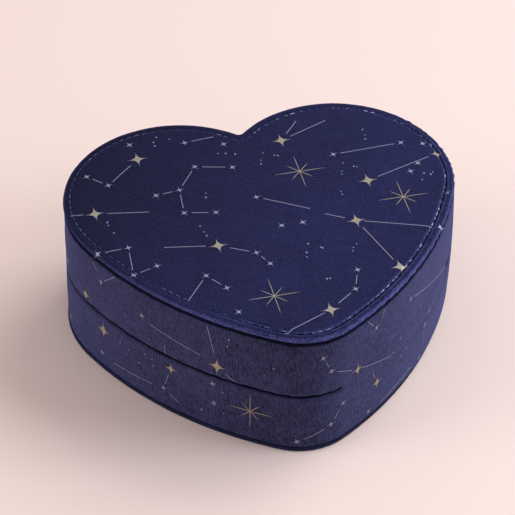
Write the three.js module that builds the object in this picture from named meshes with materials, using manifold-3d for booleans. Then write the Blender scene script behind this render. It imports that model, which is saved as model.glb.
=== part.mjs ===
// A heart-shaped jewellery case: two rigid halves of greyboard, wrapped in printed velvet and joined
// along one side by a cloth hinge, so that the lid opens like a book. Each half has a padded end panel
// whose edge is rolled over and stitched down. The base holds ring rolls and dividers; the lid holds
// necklace tabs with press studs and an elasticated pocket. Bar magnets in the rims keep it shut.
//
// Millimetres, +Z up. The origin is on the table, under the middle of the case; the heart's tip points
// along -Y and its notch along +Y. Pieces that touch on the real case keep a glue line of GLUE here.

import * as THREE from "three";
import { mergeVertices } from "three/addons/utils/BufferGeometryUtils.js";
import Module from "manifold-3d";

const wasm = await Module();
wasm.setup();

// ---------------------------------------------------------------- driving dimensions

const WIDTH = 130; // across both lobes, over the rolled edges
const HEIGHT = 49.4; // table to the top of the lid
const SEAM_Z = 23.7; // middle of the line where lid and base meet
const LOBE_R = 38.2; // radius of each lobe
const SIDE_R = 124.5; // radius of each long side, which is nearly straight
const SIDE_TOP = rad(-24.5); // outward direction where a lobe runs into a side
const TIP_R = 21.6; // radius of the rounded tip
const NOTCH_R = 1.6; // radius at the bottom of the notch
const GLUE = 0.3; // gap between pieces that are glued or sewn together
const OVERCUT = 1; // cutters run this far past the faces that they cut through

// The padded end panels. inset: how far inside the outline its rolled edge stops; flap: the turned-in
// edge of the cover; thread: height of the stitches in their channel; foam: whether it is padded.
const LID_PANEL = { inset: 0, thickness: 2.4, flap: 0.4, board: 0.35, thread: 0.2, foam: true };
const BASE_PANEL = { inset: 0.4, thickness: 2, flap: 0.3, board: 0.3, thread: 0.2, foam: false };
const CHANNEL = 0.5; // depth of the sewn channel
const PANEL_SKIN = 0.3; // cover left over the filling
const STITCH_INSET = 3.4; // from the rolled edge in to the line of stitches
const VELVET_INSET = 0.8; // the wall's velvet stands this far inside the rolled edges
const VELVET_T = 0.9;
const BOARD_T = 2; // greyboard of the walls
const LINING_T = 1.1;
const PAD_T = 2.5; // lined foam on the floor and under the lid's top
const SEAM_HALF = 0.3; // each rim stops this far from the seam

const HINGE_NORMAL = rad(-44); // outward direction at the middle of the cloth hinge
const HINGE_HALF_ANGLE = rad(15.5); // the hinge cloth runs this far either way round the side
const HINGE_CLOTH_H = 18; // height of the hinge cloth, half on each wall
const HINGE_LINING = { thickness: 0.6, height: 12 };

const ROLL_R = 5.2; // ring rolls
const ROLL_PITCH = 10.9;
const ROLL_COUNT = 4;
const DIVIDER_T = 2.6;
const DIVIDER_H = 11;

const MAGNET = { length: 10, thickness: 1.4, height: 5 };
const STRAP = { width: 8, length: 18, thickness: 1.1 }; // necklace tab
const STRAP_SPACING = 16;
const STUD_R = 3.6; // press studs

// ---------------------------------------------------------------- the heart outline

function rad(degrees) {
  return (degrees * Math.PI) / 180;
}

function direction(angle) {
  return new THREE.Vector2(Math.cos(angle), Math.sin(angle));
}

// Centres of the right half's arcs, first with the lobe's centre at y = 0, then moved so that the
// outline is centred on the origin.
const LOBE = new THREE.Vector2(WIDTH / 2 - LOBE_R, 0);
const SIDE = LOBE.clone().addScaledVector(direction(SIDE_TOP), LOBE_R - SIDE_R);
const TIP = new THREE.Vector2(0, SIDE.y - Math.sqrt((SIDE_R - TIP_R) ** 2 - SIDE.x ** 2));
const NOTCH = new THREE.Vector2(0, Math.sqrt((LOBE_R + NOTCH_R) ** 2 - LOBE.x ** 2));
const SIDE_END = TIP.clone().sub(SIDE).angle() - 2 * Math.PI; // where a side runs into the tip
const NOTCH_START = NOTCH.clone().sub(LOBE).angle(); // where a lobe runs into the notch
const CENTRE_Y = (LOBE_R + TIP.y - TIP_R) / 2;
for (const centre of [LOBE, SIDE, TIP, NOTCH]) centre.y -= CENTRE_Y;

function arc(centre, radius, from, to, steps, clockwise = false) {
  return new THREE.ArcCurve(centre.x, centre.y, radius, from, to, clockwise).getPoints(steps);
}

// The outline, moved inwards by inset, counter-clockwise from the tip. Every inset has the same number
// of points, so outlines at different heights can be joined into walls.
function heart(inset) {
  const right = [
    ...arc(TIP, TIP_R - inset, -Math.PI / 2, SIDE_END, 3),
    ...arc(SIDE, SIDE_R - inset, SIDE_END, SIDE_TOP, 5).slice(1),
    ...arc(LOBE, LOBE_R - inset, SIDE_TOP, NOTCH_START, 14).slice(1),
    ...arc(NOTCH, NOTCH_R + inset, NOTCH_START - Math.PI, -Math.PI / 2, 2, true).slice(1),
  ];
  const left = right.slice(1, -1).reverse().map((p) => new THREE.Vector2(-p.x, p.y));
  return [...right, ...left];
}

// The right side's place where the wall faces along normal: a point at that inset.
function onWall(normal, inset) {
  if (normal > SIDE_TOP) return LOBE.clone().addScaledVector(direction(normal), LOBE_R - inset);
  return SIDE.clone().addScaledVector(direction(normal), SIDE_R - inset);
}

// Half the width between the walls at y, on a side, at that inset.
function halfWidth(y, inset) {
  const [centre, radius] = y > onWall(SIDE_TOP, inset).y ? [LOBE, LOBE_R] : [SIDE, SIDE_R];
  return centre.x + Math.sqrt((radius - inset) ** 2 - (y - centre.y) ** 2);
}

// ---------------------------------------------------------------- geometry helpers

function indexed(points, triangles) {
  const geometry = new THREE.BufferGeometry();
  geometry.setAttribute("position", new THREE.Float32BufferAttribute(points, 3));
  geometry.setIndex(triangles);
  return geometry;
}

// Joins outlines at the profile's [inset, z] places. An open profile, bottom to top, is capped with
// flat hearts; a closed one goes up its outer face and down its inner one, and makes a ring.
function heartLoft(profile, closed = false) {
  const rings = profile.map(([inset, z]) => heart(inset).map((p) => [p.x, p.y, z]));
  const n = rings[0].length;
  const triangles = [];
  const last = closed ? rings.length : rings.length - 1;
  for (let i = 0; i < last; i++) {
    const low = i * n;
    const high = ((i + 1) % rings.length) * n;
    for (let j = 0; j < n; j++) {
      const k = (j + 1) % n;
      triangles.push(low + j, low + k, high + k, low + j, high + k, high + j);
    }
  }
  if (!closed) {
    const top = (rings.length - 1) * n;
    for (const [a, b, c] of THREE.ShapeUtils.triangulateShape(heart(profile[0][0]), []))
      triangles.push(c, b, a);
    for (const [a, b, c] of THREE.ShapeUtils.triangulateShape(heart(profile.at(-1)[0]), []))
      triangles.push(top + a, top + b, top + c);
  }
  return indexed(rings.flat(2), triangles);
}

// A flat heart-shaped plate.
function plate(inset, bottom, top) {
  return heartLoft([[inset, bottom], [inset, top]]);
}

// A wall of even thickness that follows the outline.
function wall(inset, thickness, bottom, top) {
  const inner = inset + thickness;
  return heartLoft([[inset, bottom], [inset, top], [inner, top], [inner, bottom]], true);
}

// A block from its size and centre, turned about Z.
function block(size, centre, turn = 0) {
  return new THREE.BoxGeometry(...size).rotateZ(turn).translate(...centre);
}

// A stretch of the right side's wall, between two heights.
function sidePatch(inset, thickness, halfAngle, bottom, top) {
  const from = HINGE_NORMAL - halfAngle;
  const to = HINGE_NORMAL + halfAngle;
  const shape = new THREE.Shape([
    ...arc(SIDE, SIDE_R - inset, from, to, 8),
    ...arc(SIDE, SIDE_R - inset - thickness, from, to, 8).reverse(),
  ]);
  const settings = { depth: top - bottom, bevelEnabled: false };
  return new THREE.ExtrudeGeometry(shape, settings).translate(0, 0, bottom);
}

function solid(geometry) {
  const bare = geometry.clone();
  bare.deleteAttribute("normal");
  bare.deleteAttribute("uv");
  const merged = mergeVertices(bare, 1e-4);
  return new wasm.Manifold(
    new wasm.Mesh({
      numProp: 3,
      vertProperties: new Float32Array(merged.getAttribute("position").array),
      triVerts: new Uint32Array(merged.index.array),
    }),
  );
}

function geometryOf(manifold) {
  const mesh = manifold.getMesh();
  return indexed(Array.from(mesh.vertProperties), Array.from(mesh.triVerts));
}

function cut(geometry, ...cutters) {
  return geometryOf(cutters.reduce((left, cutter) => left.subtract(solid(cutter)), solid(geometry)));
}

function common(a, b) {
  return geometryOf(solid(a).intersect(solid(b)));
}

// ---------------------------------------------------------------- the meshes

const VELVET = { color: 0x23264f, roughness: 0.92, metalness: 0 };
const LINING = { color: 0x2b3058, roughness: 0.95, metalness: 0 };
const GREYBOARD = { color: 0x8c8680, roughness: 0.9, metalness: 0 };
const FOAM = { color: 0xd8d4c8, roughness: 1, metalness: 0 };
const THREAD = { color: 0x39407c, roughness: 0.7, metalness: 0 };
const MAGNET_STEEL = { color: 0x8e9196, roughness: 0.35, metalness: 1 };
const STUD_METAL = { color: 0xc9b486, roughness: 0.3, metalness: 1 };

function add(group, name, geometry, finish) {
  const flat = geometry.index ? geometry.toNonIndexed() : geometry;
  flat.computeVertexNormals();
  const mesh = new THREE.Mesh(flat, new THREE.MeshStandardMaterial(finish));
  mesh.name = name;
  group.add(mesh);
  return mesh;
}

// ---------------------------------------------------------------- end panels

// A padded panel, modelled face up with its underside at z = 0: a velvet cover turned in under a
// board, foam inside the line of stitches, and the stitches, which pull the cover down into a channel.
const TURN_IN = 9; // how far the cover reaches in under the board
const FILLING_INSET = 1.9; // edge of the board inside the cover
const CHANNEL_HALF = 0.5; // half the width of the channel's floor
const CHANNEL_SLOPE = 0.6;
const THREAD_W = 0.4;
const FOAM_INSET = STITCH_INSET + CHANNEL_HALF + 2 * CHANNEL_SLOPE + PANEL_SKIN + GLUE;

function panelCover({ inset, thickness, flap, foam }) {
  const floor = thickness - CHANNEL;
  const outside = heartLoft([
    [inset + 1.5, 0],
    [inset + 0.4, 0.13 * thickness],
    [inset, 0.4 * thickness],
    [inset + 0.3, 0.72 * thickness],
    [inset + 1.2, 0.92 * thickness],
    [inset + 1.8, thickness],
    [STITCH_INSET - CHANNEL_HALF - CHANNEL_SLOPE, thickness],
    [STITCH_INSET - CHANNEL_HALF, floor],
    [STITCH_INSET + CHANNEL_HALF, floor],
    [STITCH_INSET + CHANNEL_HALF + 2 * CHANNEL_SLOPE, thickness],
  ]);
  const filling = plate(FILLING_INSET + inset - GLUE, flap, floor - PANEL_SKIN);
  const opening = plate(TURN_IN, -OVERCUT, flap + GLUE / 2);
  const padding = foam ? [plate(FOAM_INSET - GLUE, flap, thickness - PANEL_SKIN)] : [];
  return cut(outside, filling, opening, ...padding);
}

// The stitches, as one thin ring that lies in the channel.
function panelThread({ thickness, thread }) {
  const bottom = thickness - CHANNEL + GLUE;
  return wall(STITCH_INSET - THREAD_W / 2, THREAD_W, bottom, bottom + thread);
}

function addPanel(group, name, panel) {
  const boardTop = panel.flap + GLUE + panel.board;
  const edge = FILLING_INSET + panel.inset;
  add(group, `${name}_cover`, panelCover(panel), VELVET);
  add(group, `${name}_board`, plate(edge, panel.flap + GLUE, boardTop), GREYBOARD);
  if (panel.foam) {
    const foamTop = panel.thickness - PANEL_SKIN - GLUE;
    add(group, `${name}_foam`, plate(FOAM_INSET, boardTop + GLUE, foamTop), FOAM);
  }
  add(group, `${name}_stitching`, panelThread(panel), THREAD);
}

// ---------------------------------------------------------------- walls

// Each wall is modelled from its panel up to its rim, with the rim at z = height. Both halves are made
// this way; the lid's is then turned over.
const BOARD_INSET = VELVET_INSET + VELVET_T + GLUE;
const LINING_INSET = BOARD_INSET + BOARD_T + GLUE;
const INSIDE = LINING_INSET + LINING_T + GLUE; // first free inset inside the lining
const RIM_T = 0.6; // velvet over the board's edge

const EDGE_CHAMFER = 0.5; // on the velvet, where it turns over the rim

// Where the bar magnets sit: the direction that the wall faces there, and which side of the heart.
const MAGNETS = [
  { normal: rad(-44), side: -1 },
  { normal: rad(28), side: -1 },
  { normal: rad(80), side: 1 },
];

const MAGNET_SET_IN = 0.05; // keeps a flat magnet's ends inside the curved board

function magnetPlace({ normal, side }) {
  const middle = onWall(normal, BOARD_INSET + BOARD_T / 2 + MAGNET_SET_IN);
  const turn = side > 0 ? normal : Math.PI - normal;
  return { x: side * middle.x, y: middle.y, turn: turn + Math.PI / 2 };
}

function velvetBand(height, hingeCut) {
  const outer = VELVET_INSET;
  const inner = VELVET_INSET + VELVET_T;
  const far = BOARD_INSET + BOARD_T;
  const band = heartLoft(
    [
      [outer, 0],
      [outer, height - EDGE_CHAMFER],
      [outer + EDGE_CHAMFER, height],
      [far, height],
      [far, height - RIM_T],
      [inner, height - RIM_T],
      [inner, 0],
    ],
    true,
  );
  return cut(band, hingeCut);
}

function wallBoard(height) {
  const top = height - RIM_T - GLUE;
  const board = wall(BOARD_INSET, BOARD_T, 0, top);
  const depth = MAGNET.height + 2 * GLUE;
  const slots = MAGNETS.map((magnet) => {
    const { x, y, turn } = magnetPlace(magnet);
    const size = [MAGNET.length + 2 * GLUE, BOARD_T + 2 * OVERCUT, depth + OVERCUT];
    return block(size, [x, y, top - depth + size[2] / 2], turn);
  });
  return cut(board, ...slots);
}

function addMagnets(group, name, height) {
  const top = height - RIM_T - 2 * GLUE;
  MAGNETS.forEach((magnet, i) => {
    const { x, y, turn } = magnetPlace(magnet);
    const size = [MAGNET.length, MAGNET.thickness, MAGNET.height];
    add(group, `${name}_${i + 1}`, block(size, [x, y, top - MAGNET.height / 2], turn), MAGNET_STEEL);
  });
}

// The hinge cloth's own space, with a glue line round it, in a wall of this height.
function hingeSpace(height) {
  const reach = HINGE_CLOTH_H / 2 - SEAM_HALF + GLUE;
  const gap = GLUE / SIDE_R;
  const depth = VELVET_T + GLUE + OVERCUT;
  const halfAngle = HINGE_HALF_ANGLE + gap;
  return sidePatch(VELVET_INSET - OVERCUT, depth, halfAngle, height - reach, height + OVERCUT);
}

// ---------------------------------------------------------------- base

const BASE_WALL_Z = BASE_PANEL.thickness + GLUE;
const BASE_WALL_H = SEAM_Z - SEAM_HALF - BASE_WALL_Z;
const FLOOR_Z = BASE_WALL_Z + PAD_T; // top of the floor pad
const TRAY_Z = FLOOR_Z + GLUE; // what stands on the pad

const base = new THREE.Group();

const bottomPanel = new THREE.Group();
bottomPanel.rotation.y = Math.PI; // face down
bottomPanel.position.z = BASE_PANEL.thickness;
addPanel(bottomPanel, "bottom_panel", BASE_PANEL);
base.add(bottomPanel);

const baseWall = new THREE.Group();
baseWall.position.z = BASE_WALL_Z;
add(baseWall, "base_velvet_band", velvetBand(BASE_WALL_H, hingeSpace(BASE_WALL_H)), VELVET);
add(baseWall, "base_wall_board", wallBoard(BASE_WALL_H), GREYBOARD);
add(baseWall, "base_lining", wall(LINING_INSET, LINING_T, 0, BASE_WALL_H), LINING);
add(baseWall, "base_floor_pad", plate(INSIDE, 0, PAD_T), LINING);
addMagnets(baseWall, "base_magnet", BASE_WALL_H);
base.add(baseWall);

// The tray: two lobe compartments at the back, ring rolls across the middle, one compartment at the
// tip. Pieces stop TRAY_GAP short of the lining so that they clear the lining of the hinge.
const TRAY_GAP = 1.6;
const LOBE_ROOM = 28.5; // from the notch's centre to the divider behind the rolls
const ROLL_GAP = 0.2; // between the outer rolls and their dividers
const ROLLS_BACK_Y = NOTCH.y - LOBE_ROOM; // front face of the divider behind the rolls
const ROLLS_FRONT_Y = ROLLS_BACK_Y - ROLL_COUNT * ROLL_PITCH - 2 * ROLL_GAP;

// Across the case at y, as long as the narrower of its two faces allows.
function addDivider(name, y) {
  const faces = [y - DIVIDER_T / 2, y + DIVIDER_T / 2];
  const span = 2 * (Math.min(...faces.map((face) => halfWidth(face, INSIDE))) - TRAY_GAP);
  add(base, name, block([span, DIVIDER_T, DIVIDER_H], [0, y, TRAY_Z + DIVIDER_H / 2]), LINING);
}

addDivider("divider_behind_rolls", ROLLS_BACK_Y + DIVIDER_T / 2);
addDivider("divider_before_rolls", ROLLS_FRONT_Y - DIVIDER_T / 2);

const lobeFrom = ROLLS_BACK_Y + DIVIDER_T + GLUE;
const lobeTo = NOTCH.y - NOTCH_R - INSIDE - GLUE;
const lobeDivider = [DIVIDER_T, lobeTo - lobeFrom, DIVIDER_H];
const lobeDividerAt = [0, (lobeFrom + lobeTo) / 2, TRAY_Z + DIVIDER_H / 2];
add(base, "divider_between_lobes", block(lobeDivider, lobeDividerAt), LINING);

for (let i = 0; i < ROLL_COUNT; i++) {
  const y = ROLLS_BACK_Y - ROLL_GAP - (i + 0.5) * ROLL_PITCH;
  const span = 2 * (halfWidth(y - ROLL_R, INSIDE) - TRAY_GAP);
  const bar = new THREE.CylinderGeometry(ROLL_R, ROLL_R, span, 20);
  const roll = add(base, `ring_roll_${i + 1}`, bar, LINING);
  roll.rotation.z = Math.PI / 2;
  roll.position.set(0, y, TRAY_Z + ROLL_R);
}

// ---------------------------------------------------------------- hinge

// The velvet runs unbroken over the seam on the right side, and the lining does so inside. Both bend
// when the lid opens, about a line that touches the outside of the wall at the seam.
const hinge = new THREE.Group();
hinge.position.z = SEAM_Z;

function addHingeCloth(name, inset, thickness, height, finish) {
  const geometry = sidePatch(inset, thickness, HINGE_HALF_ANGLE, -height / 2, height / 2);
  add(hinge, name, geometry, finish);
}

addHingeCloth("hinge_cloth", VELVET_INSET, VELVET_T, HINGE_CLOTH_H, VELVET);
addHingeCloth("hinge_lining", INSIDE, HINGE_LINING.thickness, HINGE_LINING.height, LINING);

// ---------------------------------------------------------------- lid

const LID_WALL_H = HEIGHT - LID_PANEL.thickness - GLUE - SEAM_Z - SEAM_HALF;
const LID_WALL_TOP = SEAM_HALF + LID_WALL_H; // above the seam
const CEILING = LID_WALL_TOP - PAD_T; // underside of the pad under the top, above the seam

const lid = new THREE.Group();
lid.position.z = SEAM_Z;

const topPanel = new THREE.Group();
topPanel.position.z = LID_WALL_TOP + GLUE;
addPanel(topPanel, "top_panel", LID_PANEL);
lid.add(topPanel);

// Modelled as a wall with its rim up, then mirrored so that the rim faces down and the hinge stays on
// the right.
const lidWall = new THREE.Group();
lidWall.position.z = LID_WALL_TOP;
lidWall.scale.z = -1;
add(lidWall, "lid_velvet_band", velvetBand(LID_WALL_H, hingeSpace(LID_WALL_H)), VELVET);
add(lidWall, "lid_wall_board", wallBoard(LID_WALL_H), GREYBOARD);
add(lidWall, "lid_lining", wall(LINING_INSET, LINING_T, 0, LID_WALL_H), LINING);
add(lidWall, "lid_inner_pad", plate(INSIDE, 0, PAD_T), LINING);
addMagnets(lidWall, "lid_magnet", LID_WALL_H);
lid.add(lidWall);

// What hangs inside the lid is laid out from the hinge: +X runs along the hinge and +Y away from it,
// which is up when the lid stands open.
const fittings = new THREE.Group();
const hingeMiddle = onWall(HINGE_NORMAL, VELVET_INSET);
fittings.position.set(hingeMiddle.x, hingeMiddle.y, CEILING);
fittings.rotation.z = HINGE_NORMAL + Math.PI / 2;
lid.add(fittings);

const POCKET_TOP = 47; // distance of the pocket's mouth from the hinge
const POCKET_DEPTH = 6;
const POCKET_T = 0.8;
const POCKET_CLEAR = 1.2; // from the lining to the pocket's sewn edge
const POCKET_EDGE = 2.5; // width of the sewn edge, where the pocket is solid
const ELASTIC_W = 4;

// A heart outline seen from the fittings' own frame.
function heartFromHinge(inset, bottom, top) {
  return plate(inset, bottom, top)
    .translate(-hingeMiddle.x, -hingeMiddle.y, 0)
    .rotateZ(-fittings.rotation.z);
}

// Everything between two distances from the hinge.
function strip(fromY, toY, bottom, top) {
  return block([2 * WIDTH, toY - fromY, top - bottom], [0, (fromY + toY) / 2, (bottom + top) / 2]);
}

const pocketBack = -GLUE;
const pocketFront = pocketBack - POCKET_DEPTH;
const pocketInset = INSIDE + POCKET_CLEAR;
const pouch = common(
  heartFromHinge(pocketInset, pocketFront, pocketBack),
  strip(-OVERCUT, POCKET_TOP, pocketFront, pocketBack),
);
const pouchHollow = common(
  heartFromHinge(pocketInset + POCKET_EDGE, pocketFront + POCKET_T, pocketBack - POCKET_T),
  strip(-OVERCUT, POCKET_TOP + OVERCUT, pocketFront + POCKET_T, pocketBack - POCKET_T),
);
add(fittings, "pocket_pouch", cut(pouch, pouchHollow), LINING);
const elastic = common(
  heartFromHinge(pocketInset, pocketFront, pocketFront + POCKET_T),
  strip(POCKET_TOP + GLUE, POCKET_TOP + GLUE + ELASTIC_W, pocketFront, pocketFront + POCKET_T),
);
add(fittings, "pocket_elastic", elastic, THREAD);

// Three necklace tabs: a strap sewn down at its upper end, which opens at a press stud.
const STRAPS_AT = -8; // along the hinge, the middle strap's place
const STRAP_ROOT = 100; // distance of the sewn ends from the hinge
const SOCKET_R = 0.8 * STUD_R;
const SOCKET_T = 0.6;
const CAP_T = 1.1;
const CAP_RIM = 0.5; // height of the cap's upright edge
const CAP_FACE_R = 0.7 * STUD_R; // the flat in the middle of the cap
const ANCHOR_L = 4; // length of the sewn block that a strap hangs from
const STUD_EDGE = 0.5; // from a strap's free end to its stud
const strapTop = -2 * GLUE - SOCKET_T;
const strapMiddle = strapTop - STRAP.thickness / 2;
const anchorBottom = strapTop - STRAP.thickness;

function studCap() {
  const profile = [[0, 0], [STUD_R, 0], [STUD_R, -CAP_RIM], [CAP_FACE_R, -CAP_T], [0, -CAP_T]];
  const points = profile.map(([r, z]) => new THREE.Vector2(r, z)).reverse();
  return new THREE.LatheGeometry(points, 20).rotateX(Math.PI / 2);
}

for (let i = 0; i < 3; i++) {
  const tab = new THREE.Group();
  tab.position.set(STRAPS_AT + (i - 1) * STRAP_SPACING, STRAP_ROOT, 0);
  const anchorSize = [STRAP.width, ANCHOR_L, -GLUE - anchorBottom];
  const anchorAt = [0, GLUE + ANCHOR_L / 2, (anchorBottom - GLUE) / 2];
  add(tab, `tab_anchor_${i + 1}`, block(anchorSize, anchorAt), LINING);
  const strapSize = [STRAP.width, STRAP.length, STRAP.thickness];
  add(tab, `tab_strap_${i + 1}`, block(strapSize, [0, -STRAP.length / 2, strapMiddle]), LINING);
  const studY = -STRAP.length + STUD_R + STUD_EDGE;
  const cap = add(tab, `tab_stud_cap_${i + 1}`, studCap(), STUD_METAL);
  cap.position.set(0, studY, anchorBottom - GLUE);
  const socket = new THREE.CylinderGeometry(SOCKET_R, SOCKET_R, SOCKET_T, 20);
  const socketMesh = add(tab, `tab_stud_socket_${i + 1}`, socket, STUD_METAL);
  socketMesh.rotation.x = Math.PI / 2;
  socketMesh.position.set(0, studY, -GLUE - SOCKET_T / 2);
  fittings.add(tab);
}

// ---------------------------------------------------------------- the whole case

const jewelleryCase = new THREE.Group();
jewelleryCase.add(base, hinge, lid);

export default jewelleryCase;
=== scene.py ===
"""The looks of a heart-shaped velvet jewellery case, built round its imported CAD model.

Shapes are worked out in millimetres in the case's own frame: +Z up, the heart's tip towards -Y, the
cloth hinge on the +X side. A place round the wall is an arc length from the tip, positive towards +X.
"""

import math
from dataclasses import dataclass

import bpy
import numpy as np
from mathutils import Matrix, Vector


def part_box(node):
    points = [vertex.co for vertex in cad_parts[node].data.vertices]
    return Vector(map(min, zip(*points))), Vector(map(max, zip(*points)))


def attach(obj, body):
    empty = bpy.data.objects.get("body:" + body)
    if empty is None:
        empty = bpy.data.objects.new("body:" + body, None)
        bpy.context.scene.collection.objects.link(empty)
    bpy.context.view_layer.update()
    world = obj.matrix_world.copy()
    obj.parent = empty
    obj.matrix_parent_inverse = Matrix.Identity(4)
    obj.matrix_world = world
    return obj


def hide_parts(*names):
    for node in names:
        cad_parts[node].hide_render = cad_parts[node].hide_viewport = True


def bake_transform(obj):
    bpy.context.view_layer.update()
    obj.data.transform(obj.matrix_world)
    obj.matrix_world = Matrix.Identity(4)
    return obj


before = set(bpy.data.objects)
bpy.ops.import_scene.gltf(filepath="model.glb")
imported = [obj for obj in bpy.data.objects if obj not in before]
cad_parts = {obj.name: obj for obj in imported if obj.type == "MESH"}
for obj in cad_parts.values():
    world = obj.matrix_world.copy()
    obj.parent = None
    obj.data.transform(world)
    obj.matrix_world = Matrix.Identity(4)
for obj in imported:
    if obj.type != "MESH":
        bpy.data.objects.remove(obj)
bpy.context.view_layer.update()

MM = 0.001


def cad(node):
    """A CAD node's lowest and highest corner, in millimetres."""
    low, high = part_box(node)
    return np.array(low) / MM, np.array(high) / MM


# -------- driving dimensions

def inset_of(node):
    """How far inside the case's outline a node's own outline runs."""
    return cad("top_panel_cover")[1][0] - cad(node)[1][0]


TOP_Z = cad("top_panel_cover")[1][2]
COVER_Z = cad("top_panel_cover")[0][2]
BOTTOM_T = cad("bottom_panel_cover")[1][2]
BASE_Z, BASE_RIM = (corner[2] for corner in cad("base_velvet_band"))
LID_RIM, LID_Z = (corner[2] for corner in cad("lid_velvet_band"))
SEAM_Z = (BASE_RIM + LID_RIM) / 2
FLOOR_Z = cad("base_floor_pad")[1][2]
CEILING_Z = cad("lid_inner_pad")[0][2]

VELVET_INSET = inset_of("lid_velvet_band")
VELVET_T = 0.9
BOARD_INSET = inset_of("lid_wall_board")
LINING_INSET = inset_of("lid_lining")
LINING_T = 1.1
RIM_T = 0.6
FOLD_R = 0.8
LIP_UNEVEN = 0.14
WALL_BULGE = 0.03

# The turned edge of a wall's velvet: its radius over the hinge, how far in it reaches, and away from the
# hinge how far short of the seam it stops and how uneven it is.
SHARP_R = 0.06
RIM_IN = BOARD_INSET + 2.0
RIM_SHORT = 0.22
RIM_UNEVEN = 0.12

# The panels' rolled rims and their sewing. The roll's radius is a share of the panel's thickness, and it
# ends at an angle in degrees. The crease lies just outside the stitches, and reaches outwards and inwards.
ROLL_SHARE = 0.4
RIM_END = 230
STITCH_INSET = 3.4
STITCH_PITCH = 2.8
STITCH_LENGTH = 1.9
STITCH_RISE = 0.14
STITCH_DIVE = 0.32
THREAD_R = 0.18
CREASE_OUT = 0.45
CREASE_REACH = (0.5, 0.75)
CROWN_REACH = 9.0
# Half the width of the painted shade along the sewn crease.
PAINTED_SHADE_HALF = 0.27
SWELL = 0.035
WRINKLE = 0.14
WRINKLE_SLANT = 0.9
TURN_IN = 9.0
SEWN_GAP = 0.1

# Where the rim is drawn in, and where the stitches swing out: strength, then middle and reach along the
# wall.
RIM_PULLS = ((1.0, 118, 28), (0.7, -105, 40))
SEWN_SWING = (0.7, -118, 38)

# The cloth hinge: the way it faces, half its length, the length over which it ends, how far its velvet
# and its lining run above and below the seam, the velvet's thickness, how loose the velvet is and where
# it is loosest, and how far from the seam each of the two cloths bends.
HINGE_NORMAL = math.radians(-44)
HINGE_HALF = 36.0
HINGE_FADE = 7.0
HINGE_REACH = 5.0
HINGE_LINING_REACH = 6.0
HINGE_VELVET_T = 0.4
HINGE_SLACK = 1.3
SLACK_S = 72.0
VELVET_BEND = 0.28
LINING_BEND = 2.4

STATION = 0.8

# -------- the heart outline

WIDTH = 130.0
LOBE_R = 38.2
SIDE_R = 124.5
TIP_R = 21.6
NOTCH_R = 1.6
SIDE_TOP = math.radians(-24.5)


def towards(angle):
    return np.array([math.cos(angle), math.sin(angle)])


LOBE = np.array([WIDTH / 2 - LOBE_R, 0.0])
SIDE = LOBE + (LOBE_R - SIDE_R) * towards(SIDE_TOP)
TIP = np.array([0.0, SIDE[1] - math.sqrt((SIDE_R - TIP_R) ** 2 - SIDE[0] ** 2)])
NOTCH = np.array([0.0, math.sqrt((LOBE_R + NOTCH_R) ** 2 - LOBE[0] ** 2)])
SIDE_END = math.atan2(*(TIP - SIDE)[::-1])
NOTCH_START = math.atan2(*(NOTCH - LOBE)[::-1])
SHIFT = np.array([0.0, (LOBE_R + TIP[1] - TIP_R) / 2])
LOBE, SIDE, TIP, NOTCH = (centre - SHIFT for centre in (LOBE, SIDE, TIP, NOTCH))

# The right half as arcs: centre, radius, and the directions that the wall faces at either end. The
# notch curves the other way, so its radius is negative.
ARCS = [
    (TIP, TIP_R, -math.pi / 2, SIDE_END),
    (SIDE, SIDE_R, SIDE_END, SIDE_TOP),
    (LOBE, LOBE_R, SIDE_TOP, NOTCH_START),
    (NOTCH, -NOTCH_R, NOTCH_START, math.pi / 2),
]


def knots(inset):
    """Arc lengths from the tip to the ends of the right half's arcs, at an inset."""
    lengths = [abs((radius - inset) * (b - a)) for _, radius, a, b in ARCS]
    return np.concatenate([[0.0], np.cumsum(lengths)])


class Outline:
    """Stations round the heart, counter-clockwise from the tip: each has the centre and radius of its
    arc, the direction that the wall faces, and its arc length along the outside of the velvet."""

    def __init__(self, spacing):
        right = []
        for start, (centre, radius, a, b) in zip(knots(VELVET_INSET), ARCS):
            length = abs((radius - VELVET_INSET) * (b - a))
            count = max(8, round(length / spacing))
            for share in np.arange(count) / count:
                right.append([*centre, radius, *towards(a + (b - a) * share), start + length * share])
        right.append([*NOTCH, -NOTCH_R, *towards(math.pi / 2), knots(VELVET_INSET)[-1]])
        right = np.array(right)
        left = right[-2:0:-1] * [-1, 1, 1, -1, 1, -1]
        stations = np.vstack([right, left])
        self.centre, self.normal = stations[:, 0:2], stations[:, 3:5]
        self.radius, self.s = stations[:, 2], stations[:, 5]
        self.count = len(stations)

    def at(self, inset):
        """Every station's place, that far in from the outline. inset may differ from station to station."""
        reach = np.broadcast_to(self.radius - inset, self.count)
        return self.centre + self.normal * reach[:, None]

    def ring(self, inset, z):
        """As at(), at a height."""
        return np.column_stack([self.at(inset), np.broadcast_to(z, self.count)])


HEART = Outline(STATION)


def wall_point(s, inset):
    """The place and outward direction at arc length s."""
    starts = knots(VELVET_INSET)
    arc = min(int(np.searchsorted(starts[1:], abs(s))), len(ARCS) - 1)
    centre, radius, a, b = ARCS[arc]
    share = min(1.0, (abs(s) - starts[arc]) / (starts[arc + 1] - starts[arc]))
    normal = towards(a + (b - a) * share)
    mirror = np.array([-1.0 if s < 0 else 1.0, 1.0])
    return (centre + normal * (radius - inset)) * mirror, normal * mirror


def to_run(s):
    """Turns arc length on the velvet wall into arc length along a panel's line of stitches."""
    return np.sign(s) * np.interp(np.abs(s), knots(VELVET_INSET), knots(STITCH_INSET))


def from_run(run):
    """The other way round, for any distance along the stitches."""
    whole = 2 * knots(STITCH_INSET)[-1]
    run = (run + whole / 2) % whole - whole / 2
    return math.copysign(np.interp(abs(run), knots(STITCH_INSET), knots(VELVET_INSET)), run)


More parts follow.
